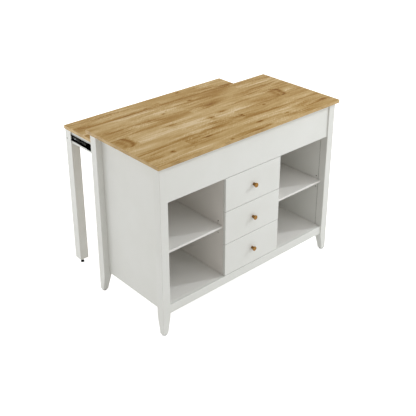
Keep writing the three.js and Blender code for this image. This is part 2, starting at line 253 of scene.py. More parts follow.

# %% [markdown]
# ## White lacquered board
#
# The posts, panels and drawer fronts are fibreboard, sanded, primed and sprayed with a satin
# lacquer. Up close such a coat has the faint hills of orange peel, a few millimetres across, and
# its tone drifts a little between boards. A flat colour would look like plastic, so two noises
# move the colour by one or two parts in a hundred and tilt the surface very slightly. The boards
# inside the bays are faced with melamine, and the drawer sides with vinyl: the same whites, a
# little warmer and with less gloss. The walls, back and ceiling of the bays are warmer still,
# partly as painted shade: that warmth tints the shade inside the bays.

# %% White board finishes
def white_board(name, light, shade, roughness):
    """Colour drifts between two near whites over 180 mm, and the hills of the coat's peel stand
    6 mm apart. Real ones are 1 to 2 mm apart, too fine for a render of the whole island, so they
    are drawn coarser."""
    material, tree, place = finish(name)
    drift = add(tree, "TexNoise", {"Vector": place, "Scale": 1 / 180, "Detail": 2.0})
    tone = add(tree, "ValToRGB", [drift], [(0.3, shade), (0.7, light)])
    gloss = add(tree, "MapRange", {0: drift, 3: roughness - 0.04, 4: roughness + 0.04})
    peel = add(tree, "TexNoise", {"Vector": place, "Scale": 1 / 6, "Detail": 1.0})
    relief = add(tree, "Bump", {"Height": peel, "Strength": 0.05, "Distance": 0.0004})
    look = {"Base Color": tone, "Roughness": gloss, "Normal": relief, "IOR": 1.5}
    add(tree, "OutputMaterial", {"Surface": add(tree, "BsdfPrincipled", look)})
    return material


white_lacquer = white_board("satin_lacquer_on_fibreboard", "#E7E8E4", "#E3E4DF", 0.42)
# Warmer than the lacquer, partly painted shade: it turns the shade inside the bays warm.
melamine = white_board("warm_melamine_board_with_painted_shade", "#E5E1DB", "#E1DDD7", 0.48)
shelf_board = white_board("white_melamine_shelf_board", "#EAE9E5", "#E6E5E1", 0.45)
vinyl_wrap = white_board("matt_vinyl_on_particleboard", "#E3E1DA", "#DFDDD6", 0.55)
print("white finishes:", white_lacquer.name, melamine.name, shelf_board.name, vinyl_wrap.name)

# %% [markdown]
# ## Oak laminate: printed strips
#
# The tops are particleboard faced with printed wild-oak decor: strips about 106 mm wide, each cut
# from another board, with long streaks, a few arched figures where a strip ends, and small dark
# knots. A photograph of oak could be stretched over the board, but a pattern built from nodes has
# no seams and no limit of sharpness, and it is built from sizes. The first are how wide a strip is
# and after what length the print begins again. Each strip gets a number of its own, which shifts
# its tone and its grain.

# %% Oak strips
STRIP = 106.0  # width of one printed strip, mm
REPEAT = 990.0  # the decor roller's length in mm, after which a strip begins again
STAGGER = 575.0  # each strip starts this many mm after its neighbour


def strips(tree, place, first_row, shift):
    """The strip's own number from 0 to 1, its row, the place along it in mm, which is nought at its
    end and less before it, and the place across it from 0 to 1. Rows are
    floor((y - first_row) / STRIP), and lengths start anew every REPEAT mm."""
    x, y, _ = add(tree, "SeparateXYZ", [place]).outputs
    level = add(tree, "Math", [y, 1 / STRIP, -first_row / STRIP], operation="MULTIPLY_ADD")
    row = add(tree, "Math", [level], operation="FLOOR")
    start = add(tree, "Math", [row, STAGGER, shift], operation="MULTIPLY_ADD")
    along = add(tree, "Math", [add(tree, "Math", [x, start]), 1 / REPEAT], operation="MULTIPLY")
    which = add(tree, "CombineXYZ", [row, add(tree, "Math", [along], operation="FLOOR")])
    own = add(tree, "TexWhiteNoise", {"Vector": which}, noise_dimensions="3D")
    part = add(tree, "Math", [along], operation="FRACT")
    end = add(tree, "Math", [part, REPEAT, -REPEAT], operation="MULTIPLY_ADD")
    return own, row, end, add(tree, "Math", [level], operation="FRACT")


print("a printed strip: %.0f mm wide, %.0f mm long" % (STRIP, REPEAT))

# %% [markdown]
# ## Oak laminate: grain
#
# Oak's streaks are its growth rings, cut almost along the trunk. The wave texture could draw them,
# but its stripes are too even. Noise pulled out along the board looks more like them, in three
# layers: broad clouds of tone, streaks, and fine lines of pores.

# %% Oak grain
# Length and breadth in mm, detail, roughness and weight.
GRAIN = [
    (300.0, 60.0, 3.0, 0.55, 0.85),  # clouds
    (240.0, 14.0, 3.0, 0.55, 0.85),  # streaks
    (260.0, 5.0, 2.0, 0.50, 0.55),  # fine lines, drawn coarser than real pores, to show
]
SWAY_SIZE, SWAY_REACH = (230.0, 62.0), (70.0, 46.0)  # slow bends of the grain, mm
MOOD_SIZE = (330.0, 85.0)  # patches of calm and streaky wood, mm


def per(length, breadth):
    """One over each measure, which turns millimetres along x and y into a noise's own units."""
    return 1 / length, 1 / breadth, 0


def grain(tree, place, own):
    """The strip's tone, 0.44 + 0.12 * own, plus (noise - 0.5) * weight * liveliness for each layer.
    Places are swayed by slow noise first, so that no streak runs straight, and liveliness drifts
    from 0.4 to 1.3, so that calm and streaky wood alternate. A strip's own number, times 60, lifts
    its noise out of its neighbours'. Also returns the first layer, the last and the liveliness."""
    slow = add(tree, "VectorMath", [place, per(*SWAY_SIZE)], operation="MULTIPLY")
    sway = add(tree, "TexNoise", {"Vector": slow, "Scale": 1.0, "Detail": 3.0}).outputs["Color"]
    bent = add(tree, "VectorMath", [sway, (*SWAY_REACH, 0.0), place], operation="MULTIPLY_ADD")
    seed = add(tree, "CombineXYZ", [0.0, 0.0, add(tree, "Math", [own, 60.0], operation="MULTIPLY")])
    patches = add(tree, "VectorMath", [place, per(*MOOD_SIZE), seed], operation="MULTIPLY_ADD")
    mood = add(tree, "TexNoise", {"Vector": patches, "Scale": 1.0, "Detail": 1.0})
    lively = add(tree, "MapRange", {0: mood, 1: 0.35, 2: 0.65, 3: 0.4, 4: 1.3})
    total, layers = add(tree, "Math", [own, 0.12, 0.44], operation="MULTIPLY_ADD"), []
    for length, breadth, detail, roughness, weight in GRAIN:
        pulled = [bent, per(length, breadth), seed]
        stretched = add(tree, "VectorMath", pulled, operation="MULTIPLY_ADD")
        look = {"Vector": stretched, "Scale": 1.0, "Detail": detail, "Roughness": roughness}
        layers.append(add(tree, "TexNoise", look))
        centred = add(tree, "Math", [layers[-1], weight, -weight / 2], operation="MULTIPLY_ADD")
        total = add(tree, "Math", [centred, lively, total], operation="MULTIPLY_ADD")
    return total, layers[0], layers[-1], lively


print("oak grain:", len(GRAIN), "layers, the finest", GRAIN[-1][1], "mm broad")

# %% [markdown]
# ## Oak laminate: arches, knots and stains
#
# Where a strip ends, arches of darker wood stand across it, as where a saw leaves the heart of a
# log. Knots and stains are soft ellipses whose outlines wander. On the table a row of them along
# the worktop's back edge is painted shadow: the worktop's shadow on the table. They could be
# painted by hand on the face; a formula for each kind and a list of places are easier to change.

# %% Oak figures
# Arched bands near a strip's end: place along the strip and width in mm, and depth.
ARCHES = [(0.0, 17.0, 1.0), (-42.0, 20.0, 0.55)]
ARCH_BEND, ARCH_SWAY, ARCH_DEPTH = 34.0, 50.0, 0.36  # mm, mm and tone


def arches(tree, row, end, across, cloud):
    """Dark bands of depth * 0.3 ** (squared distance in widths). The distance is from the band's
    place to the place along the strip plus ARCH_BEND * v ** 4 plus some noise, where v runs from
    -1 to 1 across the strip. One strip of four has them."""
    v = add(tree, "Math", [across, 2.0, -1.0], operation="MULTIPLY_ADD")
    turn = add(tree, "Math", [v, 4.0], operation="POWER")
    bend = add(tree, "Math", [turn, ARCH_BEND, end], operation="MULTIPLY_ADD")
    curve = add(tree, "Math", [cloud, ARCH_SWAY, bend], operation="MULTIPLY_ADD")
    quarters = add(tree, "Math", [row, 0.25], operation="MULTIPLY")
    quarter = add(tree, "Math", [quarters], operation="FRACT")
    chosen = add(tree, "Math", [quarter, 0.5, 0.1], operation="COMPARE")
    total = 0.0
    for at, width, depth in ARCHES:
        far = add(tree, "Math", [curve, 1 / width, -at / width], operation="MULTIPLY_ADD")
        squared = add(tree, "Math", [far, far], operation="MULTIPLY")
        dark = add(tree, "Math", [0.3, squared], operation="POWER")
        total = add(tree, "Math", [dark, depth, total], operation="MULTIPLY_ADD")
    return add(tree, "Math", [total, chosen], operation="MULTIPLY")


def stains(tree, place, marks, tone, size, reach):
    """Takes depth * 0.25 ** (squared distance in the mark's own lengths and widths) off the tone
    for each mark, at a place that noise of a size in mm has moved by up to half of its reach."""
    near = add(tree, "VectorMath", [place, per(*size)], operation="MULTIPLY")
    wander = add(tree, "TexNoise", {"Vector": near, "Scale": 1.0, "Detail": 3.0}).outputs["Color"]
    loose = add(tree, "VectorMath", [wander, (*reach, 0.0), place], operation="MULTIPLY_ADD")
    for x, y, length, width, depth in marks:
        back = (-(x + reach[0] / 2) / length, -(y + reach[1] / 2) / width, 0)
        moved = [loose, per(length, width), back]
        local = add(tree, "VectorMath", moved, operation="MULTIPLY_ADD")
        far = add(tree, "VectorMath", [local, local], operation="DOT_PRODUCT").outputs["Value"]
        dark = add(tree, "Math", [0.25, far], operation="POWER")
        tone = add(tree, "Math", [dark, -depth, tone], operation="MULTIPLY_ADD")
    return tone


print("arches:", len(ARCHES), "bands, at", [at for at, _, _ in ARCHES], "mm from the strip's end")

# %% Oak marks
# The noise that frays the outline of a mark: its size and its reach along and across, mm.
CLOUD_EDGE = ((85.0, 30.0), (110.0, 36.0))
KNOT_EDGE = ((40.0, 14.0), (40.0, 16.0))

# x, y, length and width in world millimetres, and depth as a part of the whole range of tones.
# A depth under nought makes a pale patch.
TOP_CLOUDS = [
    (-535, 10, 90, 13, 0.30), (-270, -30, 300, 44, 0.16), (40, -35, 60, 26, 0.26),
    (110, -5, 80, 24, 0.16), (170, 95, 190, 40, 0.26), (330, -25, 120, 40, 0.16),
    (490, -8, 110, 9, 0.34), (-270, -107, 50, 13, 0.36), (275, -155, 150, 40, 0.14),
    (-195, -265, 170, 11, 0.42), (-250, -235, 110, 18, 0.18), (-75, -238, 90, 11, 0.26),
    (290, -285, 330, 12, 0.28), (-500, -275, 120, 12, 0.14), (-290, -345, 130, 22, 0.22),
    (-550, -340, 60, 16, 0.14), (510, -362, 80, 15, 0.22), (400, -360, 70, 30, 0.12),
    (150, 60, 160, 26, 0.10), (-490, 70, 130, 35, -0.16), (-530, -225, 90, 30, -0.16),
    (60, 45, 110, 25, -0.12), (250, -325, 170, 22, -0.12), (-430, -150, 330, 330, -0.05),
    (430, -150, 330, 330, 0.05), (-400, -400, 220, 25, -0.10), (-110, -75, 80, 12, -0.14),
    (80, -60, 90, 10, -0.14), (-410, -135, 90, 35, -0.12),
]
TOP_KNOTS = [
    (-205, 35, 11, 7, 0.55), (15, 85, 15, 8, 0.5), (-165, 55, 8, 6, 0.35),
    (-60, -162, 26, 24, 0.46), (35, -137, 32, 10, 0.40), (-450, -340, 15, 9, 0.5),
    (-220, -320, 28, 7, 0.45), (265, -365, 17, 7, 0.45), (545, -352, 26, 8, 0.42),
    (-160, -417, 10, 7, 0.4), (85, -355, 18, 10, 0.38), (260, -210, 10, 8, 0.35),
    (75, -236, 7, 20, 0.38), (90, -415, 22, 7, 0.3),
]
# The first three table marks, a thin dark line at y 307 to 312 mm beside the worktop's back edge,
# are painted shadow: the shadow that the worktop casts on the table.
TABLE_CLOUDS_AND_SHADOW = [
    (-180, 307, 460, 17, 0.28), (330, 312, 190, 12, 0.13), (490, 309, 90, 18, 0.28),
    (-480, 400, 80, 30, -0.12), (-400, 380, 300, 200, -0.08), (400, 380, 300, 200, 0.03),
]
TABLE_KNOTS = [(193, 400, 14, 8, 0.4), (-90, 325, 12, 7, 0.35)]
print("marks on the worktop:", len(TOP_CLOUDS + TOP_KNOTS))
print("marks on the table:", len(TABLE_CLOUDS_AND_SHADOW + TABLE_KNOTS))

# %% [markdown]
# ## Oak laminate: the finish
#
# The face is paper under a matt melamine resin, so it mirrors little, and its pores are pressed in
# very slightly. Grain, flecks, arches and marks could each have a colour; adding them up to one
# tone first, and giving that a colour last, keeps every one of them oak.

# %% Oak finishes
# Dark to light: heartwood streaks, the middle of the board, and its palest sapwood.
OAK_TONES = [
    (0.05, "#784D12"), (0.23, "#997032"), (0.40, "#AF8C51"),
    (0.52, "#BFA069"), (0.68, "#CFB483"), (0.85, "#DFC8A0"),
]
FLECK_SIZE, FLECK_ANGLE, FLECK_LIGHT = (36.0, 6.0), -42.0, 0.16  # ray flecks: mm, degrees, tone


def oak(name, first_row, shift, clouds, knots, level):
    """The sum of grain, ray flecks, arches and stains, from 0 (dark) to 1 (light), through the
    tones. First_row is the y of one strip's edge and shift moves the strips' ends along x, both in
    mm. A level under nought makes the whole board darker."""
    material, tree, place = finish(name)
    own, row, end, across = strips(tree, place, first_row, shift)
    tone, cloud, pores, lively = grain(tree, place, own)
    # Ray flecks: short pale dashes that cross the grain at a slant, where the wood is lively.
    slant = {"Vector": place, "Angle": math.radians(FLECK_ANGLE)}
    slanted = add(tree, "VectorRotate", slant, rotation_type="Z_AXIS")
    dashed = add(tree, "VectorMath", [slanted, per(*FLECK_SIZE)], operation="MULTIPLY")
    fleck = add(tree, "TexNoise", {"Vector": dashed, "Scale": 1.0, "Detail": 1.0})
    pale = add(tree, "MapRange", {0: fleck, 1: 0.50, 2: 0.80, 3: level, 4: level + FLECK_LIGHT})
    tone = add(tree, "Math", [pale, lively, tone], operation="MULTIPLY_ADD")
    arched = arches(tree, row, end, across, cloud)
    tone = add(tree, "Math", [arched, -ARCH_DEPTH, tone], operation="MULTIPLY_ADD")
    tone = stains(tree, place, clouds, tone, *CLOUD_EDGE)
    tone = stains(tree, place, knots, tone, *KNOT_EDGE)
    colour = add(tree, "ValToRGB", [tone], OAK_TONES)
    gloss = add(tree, "MapRange", {0: tone, 3: 0.70, 4: 0.58})
    relief = add(tree, "Bump", {"Height": pores, "Strength": 0.12, "Distance": 0.0003})
    look = {"Base Color": colour, "Roughness": gloss, "Normal": relief, "IOR": 1.5}
    look["Specular IOR Level"] = 0.2  # printed paper under a matt resin mirrors little
    add(tree, "OutputMaterial", {"Surface": add(tree, "BsdfPrincipled", look)})
    return material


oak_top = oak("wild_oak_laminate_worktop", -393.0, 340.0, TOP_CLOUDS, TOP_KNOTS, 0.0)
# The table's level of -0.04 darkens the whole board: painted shade, for the table lies lower than
# the worktop and in more shade.
oak_table = oak("wild_oak_laminate_table", -60.0, 240.0, TABLE_CLOUDS_AND_SHADOW, TABLE_KNOTS, -0.04)
print("oak finishes:", len(oak_top.node_tree.nodes), "and", len(oak_table.node_tree.nodes), "nodes")

# %% [markdown]
# ## The edge band
#
# A laminated board shows raw particleboard at its edge, so a thin strip of the same decor is glued
# on. It is printed plainer than the face, with fine lines along its length. The face's pattern
# could simply run over the edge, as it would on solid wood; a finish of its own gives the
# tell-tale line where the band meets the face.

# %% Edge band
def edge_band(name, tones):
    """Fine lines that run along the edge: noise stretched to 300 mm in x and y and 2.2 mm in z, at
    half weight, over patches of 60 mm."""
    material, tree, place = finish(name)
    run = add(tree, "VectorMath", [place, (1 / 300, 1 / 300, 1 / 2.2)], operation="MULTIPLY")
    lines = add(tree, "TexNoise", {"Vector": run, "Scale": 1.0, "Detail": 3.0})
    patch = add(tree, "VectorMath", [place, (1 / 60, 1 / 60, 1 / 30)], operation="MULTIPLY")
    drift = add(tree, "TexNoise", {"Vector": patch, "Scale": 1.0, "Detail": 2.0})
    level = add(tree, "Math", [lines, 0.5, drift], operation="MULTIPLY_ADD")
    colour = add(tree, "ValToRGB", [level], tones)
    look = {"Base Color": colour, "Roughness": 0.5, "IOR": 1.5}
    add(tree, "OutputMaterial", {"Surface": add(tree, "BsdfPrincipled", look)})
    return material


band = edge_band("oak_edge_band", [(0.5, "#9F7E46"), (0.75, "#BA9A62"), (1.0, "#CDB07A")])
print("edge band:", band.name)

# %% [markdown]
# ## Brass
#
# The knobs are turned from brass bar and left with their fine turning rings under a clear coat. A
# plain metal shader would give one even sheen. The rings follow the profile, not any axis of the
# room, so each turned piece carries the distance along its profile for them.

# %% Turned brass
def turned_metal(name, dark, light, roughness, pitch_mm):
    """Lathe rings: a sine of the distance along the profile, which each turned piece carries. The
    real rings are 0.1 mm apart and are drawn pitch_mm apart, so that they show."""
    material, tree, place = finish(name)
    profile = add(tree, "Attribute", attribute_name="profile_mm").outputs["Fac"]
    waver = add(tree, "TexNoise", {"Vector": place, "Scale": 1 / 2.5, "Detail": 2.0})
    phase = add(tree, "Math", [profile, 2 * math.pi / pitch_mm, waver], operation="MULTIPLY_ADD")
    rings = add(tree, "Math", [phase], operation="SINE")
    tone = add(tree, "ValToRGB", [waver], [(0.3, dark), (0.7, light)])
    relief = add(tree, "Bump", {"Height": rings, "Strength": 0.25, "Distance": 0.00004})
    look = {"Base Color": tone, "Metallic": 1.0, "Roughness": roughness, "Normal": relief}
    add(tree, "OutputMaterial", {"Surface": add(tree, "BsdfPrincipled", look)})
    return material


brass = turned_metal("turned_brass_clear_coated", "#7F5A28", "#936C34", 0.36, 0.8)
print("brass:", brass.name)

# %% [markdown]
# ## Zinc
#
# The drawer runners, screws and shelf pins are zinc plated, which looks grey and faintly cloudy.
# A second noise could move the gloss; here one noise moves the tone and the gloss together,
# because both come from the same uneven plating.

# %% Zinc plate
def plated_steel(name, dark, light, roughness, cloud_mm, relief_mm):
    """Two tones and two roughnesses that drift over cloud_mm, on a skin of relief_mm hills."""
    material, tree, place = finish(name)
    drift = add(tree, "TexNoise", {"Vector": place, "Scale": 1 / cloud_mm, "Detail": 3.0})
    tone = add(tree, "ValToRGB", [drift], [(0.35, dark), (0.65, light)])
    rough = add(tree, "MapRange", {0: drift, 3: roughness + 0.06, 4: roughness - 0.06})
    hills = add(tree, "TexNoise", {"Vector": place, "Scale": 1 / relief_mm, "Detail": 2.0})
    relief = add(tree, "Bump", {"Height": hills, "Strength": 0.1, "Distance": 0.0001})
    look = {"Base Color": tone, "Metallic": 1.0, "Roughness": rough, "Normal": relief}
    add(tree, "OutputMaterial", {"Surface": add(tree, "BsdfPrincipled", look)})
    return material


zinc = plated_steel("zinc_plated_steel", "#A3A6A8", "#BABCBD", 0.34, 12, 1.5)
print("zinc:", zinc.name)

# %% [markdown]
# ## Black steel, mouldings and raw board
#
# The table slides are pressed steel with a black electrocoat, which scatters what little light it
# returns. Electrocoat, ABS, nylon and polypropylene are all plastics to the light: a dark or grey
# body under a weak reflection, broken up by the eroded grain of the mould or the orange peel of the
# bath. Raw chipboard shows inside the drilled holes, brown, and darker than its chips are, as
# painted shade for the inside of each hole, so that each hole is a dark dot. A grey strip of
# painted shadow lies in the narrow grooves beside the posts. One function serves them all, because
# they differ in tone, gloss and grain alone.

# %% Plastics and chipboard
def moulding(name, dark, light, roughness, grain_mm, specular=0.5):
    """One tone with a slight drift over 14 mm, and hills grain_mm apart. Real mould grain is about
    0.2 mm apart and is drawn coarser, to show. A low specular level keeps matt blacks black."""
    material, tree, place = finish(name)
    drift = add(tree, "TexNoise", {"Vector": place, "Scale": 1 / 14, "Detail": 2.0})
    tone = add(tree, "ValToRGB", [drift], [(0.3, dark), (0.7, light)])
    hills = add(tree, "TexNoise", {"Vector": place, "Scale": 1 / grain_mm, "Detail": 2.0})
    relief = add(tree, "Bump", {"Height": hills, "Strength": 0.3, "Distance": 0.0002})
    look = {"Base Color": tone, "Roughness": roughness, "Normal": relief, "IOR": 1.5}
    look["Specular IOR Level"] = specular
    add(tree, "OutputMaterial", {"Surface": add(tree, "BsdfPrincipled", look)})
    return material


black_coat = moulding("black_electrocoated_steel", "#020202", "#060606", 0.6, 1.5, specular=0.0)
nylon = moulding("grey_nylon", "#646562", "#70716E", 0.55, 1.0)
black_abs = moulding("black_abs", "#0A0A0A", "#141414", 0.5, 1.0, specular=0.2)
cap_plastic = moulding("pale_grey_polypropylene", "#B4B5B0", "#BEBFBA", 0.5, 1.0)
# Raw chipboard's brown, darkened past its own as painted shade inside the holes.
chipboard_and_painted_shade = moulding("raw_chipboard_in_holes", "#33271B", "#5A4630", 0.9, 1.2, specular=0.1)
# A grey for the groove strips: painted shadow, standing in for the shade inside each groove.
painted_groove_shade = moulding("thin_paint_in_grooves", "#8E8B84", "#98958E", 0.9, 1.2, specular=0.1)
mouldings = (black_coat, nylon, black_abs, cap_plastic, chipboard_and_painted_shade, painted_groove_shade)
print("mouldings:", *(material.name for material in mouldings))

# %% [markdown]
# ## Dress the frame
#
# The boards and steel channels of the CAD frame already have the right form, so each one keeps its
# mesh and gets the finish of its slot. Making new boards would only repeat them.

# %% Finishes on the CAD nodes
FINISHES = {
    "white_paint": white_lacquer, "white_wrap": vinyl_wrap,
    "oak_laminate": oak_top, "brushed_brass": brass,
    "black_steel": black_coat, "zinc_steel": zinc,
    "grey_plastic": nylon, "black_plastic": black_abs,
}
# Boards inside the bays have the slot of the white paint, and their own facing. The warmer
# facing of the walls, back and ceiling partly paints the warm shade of the bays.
INSIDE = dict.fromkeys(("back_panel", "ceiling_panel", "divider_left", "divider_right"), melamine)
INSIDE |= dict.fromkeys(("floor_panel", "shelf_left", "shelf_right"), shelf_board)
slot_of = {part["node"]: part["material_slot"] for part in frame["record"]["subparts"]}
for name, item in nodes.items():
    item.data.materials.clear()
    item.data.materials.append(INSIDE.get(name, FINISHES[slot_of[name]]))
print("finished nodes:", {slot: list(slot_of.values()).count(slot) for slot in FINISHES})

# %% [markdown]
# ## Pieces as rings
#
# A knob, a screw head, a rounded board and a levelling foot look unlike each other, yet each is a
# pile of rings: a closed outline that changes its size and height from one step to the next. A
# modelling program would start from a cylinder or a box and bevel it. Working out the rings as
# arrays gives exact radii, and the same function can then skin every one of them.

# %% Rings to meshes
def skin(rings):
    """Points and faces of a closed skin over rings[i, j]: each quad joins points j and j + 1 of
    rings i and i + 1, and one flat face closes each end. Rings run anticlockwise, lowest first."""
    around = rings.shape[1]
    index = np.arange(rings.shape[0] * around).reshape(-1, around)
    ahead = np.roll(index, -1, axis=1)
    quads = np.stack([index[:-1], ahead[:-1], ahead[1:], index[1:]], -1).reshape(-1, 4)
    return rings.reshape(-1, 3), quads.tolist() + [index[0, ::-1].tolist(), index[-1].tolist()]


box_rings = np.array([[[1, 1, z], [-1, 1, z], [-1, -1, z], [1, -1, z]] for z in (0, 1)])
print("a skin over two rings of four points has", len(skin(box_rings)[1]), "faces")

# %% [markdown]
# ## From parts to pieces
#
# Three screws, or a pad and its hexagon, ride on one body and move as one, so they can be one
# object. Each could be an object of its own, but the list of pieces would grow without telling
# more. The numbers are millimetres until the mesh is made. Most pieces take their place from the
# box of the CAD node that they dress or sit on.

# %% Pieces
def piece(name, parts, body, material, replaces=(), sharp=32, attribute=None):
    """Joins parts into one object in metres that rides on a body, with edges over sharp degrees
    left crisp. It stands for the CAD nodes in replaces. The attribute is each point's distance
    along a turned profile, in mm."""
    starts = np.cumsum([0] + [len(points) for points, _ in parts])
    faces = []
    for start, (_, some) in zip(starts, parts):
        faces += [(np.asarray(face) + start).tolist() for face in some]
    mesh = bpy.data.meshes.new(name)
    mesh.from_pydata((np.concatenate([points for points, _ in parts]) * MM).tolist(), [], faces)
    mesh.materials.append(material)
    mesh.shade_smooth()
    mesh.set_sharp_from_angle(angle=math.radians(sharp))
    if attribute is not None:
        mesh.attributes.new("profile_mm", "FLOAT", "POINT").data.foreach_set("value", attribute)
    item = bpy.data.objects.new(name, mesh)
    bpy.context.scene.collection.objects.link(item)
    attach(item, body)
    if replaces:
        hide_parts(*replaces)
    return item


def box_mm(node):
    """Lowest and highest corners of a CAD node, and its middle, in millimetres."""
    low, high = (np.array(corner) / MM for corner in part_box(node))
    return low, high, (low + high) / 2


print("the worktop's middle, mm:", box_mm("worktop")[2].round(1).tolist())

# %% [markdown]
# ## The two tops
#
# Each top is a 17 mm board with an edge band, whose corners are nipped round by the trimming
# cutter, 2.5 mm in plan and 1 mm over the edge. That soft arris is the bright line that shows a
# real edge. A box with a bevel modifier would do as well; the rings leave upright faces that their
# normals tell from the rest, so the band can take its own finish.

# %% Rounded boards
def outline(low, high, inset, corner, steps=5):
    """A rectangle drawn in by inset, anticlockwise, whose quarter circles have the radius
    corner - inset."""
    radius = max(corner - inset, 0.05)
    quarter = np.linspace(0, math.pi / 2, steps)
    turn = np.concatenate([quarter + k * math.pi / 2 for k in (0, 1, 2, 3)])
    side = np.repeat([[1, 1], [-1, 1], [-1, -1], [1, -1]], steps, axis=0)
    half = (np.asarray(high[:2]) - np.asarray(low[:2])) / 2 - inset - radius
    middle = (np.asarray(high[:2]) + np.asarray(low[:2])) / 2
    return middle + side * half + radius * np.stack([np.cos(turn), np.sin(turn)], -1)


def slab(low, high, corner, edge):
    """A board with rounded edges: rings of its outline, drawn in by edge * (1 - cos t) and raised
    by edge * sin t as t turns through the lower and the upper edge."""
    t = np.linspace(-math.pi / 2, 0, 5)
    inset = np.concatenate([edge * (1 - np.cos(t)), edge * (1 - np.cos(t[::-1]))])
    rise = edge * (1 + np.sin(t))
    height = np.concatenate([low[2] + rise, high[2] - rise[::-1]])
    flats = [outline(low, high, drawn_in, corner) for drawn_in in inset]
    rings = [np.column_stack([flat, np.full(len(flat), z)]) for flat, z in zip(flats, height)]
    return skin(np.array(rings))


print("a rounded board has", len(slab((0, 0, 0), (9, 9, 9), 2, 1)[1]), "faces")

# %% Tops
PLAN_RADIUS, EDGE_RADIUS = 2.5, 1.0  # mm
for node, body, material in (("worktop", "cabinet", oak_top), ("table_top", "table", oak_table)):
    low, high, _ = box_mm(node)
    board = slab(low, high, PLAN_RADIUS, EDGE_RADIUS)
    top = piece(node + "_board", [board], body, material, [node])
    top.data.materials.append(band)
    normals = np.zeros(len(top.data.polygons) * 3, np.float32)
    top.data.polygons.foreach_get("normal", normals)
    sides = np.abs(normals.reshape(-1, 3)[:, 2]) < 0.6
    top.data.polygons.foreach_set("material_index", sides.astype(np.int32))
    print(top.name, "mm", np.round(high - low, 1), "band faces", int(sides.sum()))

# %% [markdown]
# ## Turned parts
#
# Knobs, glides, feet, pins and caps are made on a lathe or moulded as if they were: a profile swept
# round an axis. The screw modifier does the same to a drawn curve. Here the profile is a list of
# radii and heights, its corners are rounded as a cutter leaves them, and the part is then set
# upright or on its side where it belongs.

# %% Turned parts
def lathe(profile, segments=32):
    """A profile of (radius, height) pairs swept round Z: x and y are the radius times the cosine
    and sine of the turning angle. All in millimetres."""
    angle = np.arange(segments) * 2 * math.pi / segments
    circle = np.stack([np.cos(angle), np.sin(angle), np.zeros(segments)], -1)
    profile = np.asarray(profile, float)
    rings = profile[:, None, :1] * circle
    rings[..., 2] = profile[:, 1:]
    return skin(rings)


def rounded(points, radius, steps=4):
    """The profile with its inner corners rounded: each corner becomes points of a quadratic curve
    that starts and ends one radius (or at most 0.45 of the side) before and after it."""
    points = np.asarray(points, float)
    out = [points[:1]]
    t = np.linspace(0, 1, steps + 1)[:, None]
    for before, corner, after in zip(points, points[1:], points[2:]):
        back, on = before - corner, after - corner
        start = corner + back * min(0.45, radius / max(np.linalg.norm(back), 1e-9))
        end = corner + on * min(0.45, radius / max(np.linalg.norm(on), 1e-9))
        out.append((1 - t) ** 2 * start + 2 * t * (1 - t) * corner + t**2 * end)
    return np.concatenate(out + [points[-1:]])


def set_at(part, origin, axis=(0, 0, 1)):
    """The part with its +Z turned to axis and its origin moved to a place, both by one matrix."""
    w = np.array(axis, float) / np.linalg.norm(axis)
    u = np.cross((0, 1, 0) if abs(w[1]) < 0.9 else (0, 0, 1), w)
    u /= np.linalg.norm(u)
    points, faces = part
    return points @ np.array([u, np.cross(w, u), w]) + np.array(origin), faces


print("a 12 step lathe has", len(lathe([(1, 0), (2, 1), (1, 2)], 12)[1]), "faces")

# %% [markdown]
# ## The knobs
#
# A drawer is opened by a small brass knob that flares from its foot to a flat face, turned in one
# piece and screwed on from inside. A cone with a bevel would be close. The real profile has a
# short foot, a hollow flare, a rounded rim and a face that is dished by a few tenths, which is what
# makes the highlight travel as the knob is seen from elsewhere.

# %% Knobs
# Radius and height of the profile's corners, mm.
knob_flare = [(0.5, 0.0), (7.5, 0.0), (7.5, 1.4), (7.1, 2.2), (8.4, 8.5), (12.0, 17.2)]
knob_face = [(12.0, 20.5), (9.6, 20.5), (9.0, 20.1), (0.5, 19.9)]
KNOB = rounded(knob_flare + knob_face, 1.1)
KNOB_SIDES = 48
knob_run = np.concatenate([[0], np.cumsum(np.linalg.norm(np.diff(KNOB, axis=0), axis=1))])
LEVELS = ("top", "middle", "bottom")
for level in LEVELS:
    node = f"drawer_{level}_knob"
    _, high, middle = box_mm(node)
    part = set_at(lathe(KNOB, KNOB_SIDES), (middle[0], high[1], middle[2]), (0, -1, 0))
    run = np.repeat(knob_run, KNOB_SIDES)
    body = "drawer_" + level
    piece(node + "_turned", [part], body, brass, [node], sharp=40, attribute=run)
print("knob profile:", len(KNOB), "points, %.1f mm long" % KNOB[:, 1].max())

# %% [markdown]
# ## Glides under the posts
#
# Each post stands on a nail-on glide, a grey nylon button with the nail's head sunk in its sole,
# so that the island can be pushed without scratching. A flattened cylinder would pass from above;
# the turned profile also gives the sole its rounded edge and its hollow.

# %% Glides
# Radius and height of the profile's corners, mm.
GLIDE = rounded([(2.2, 0.8), (2.6, 0.0), (9.2, 0.0), (12.0, 2.0), (12.0, 7.8), (0.5, 7.8)], 0.9)
for corner in ("front_left", "front_right", "back_right", "back_left"):
    _, _, middle = box_mm("glide_" + corner)
    part = set_at(lathe(GLIDE, 40), (middle[0], middle[1], 0))
    piece("glide_button_" + corner, [part], "cabinet", nylon, ["glide_" + corner])
print("glide profile:", len(GLIDE), "points")

# %% [markdown]
# ## Levelling feet under the table
#
# The table stands on the kitchen floor by itself, so its two legs have levelling feet: a black pad,
# a hexagon for the spanner, and a threaded zinc stem that shows between the pad and the leg. All of
# them are turned profiles except the hexagon, whose ring has six corners. The thread is drawn as
# separate grooves, which look the same as a helix at this size and keep the mesh closed.

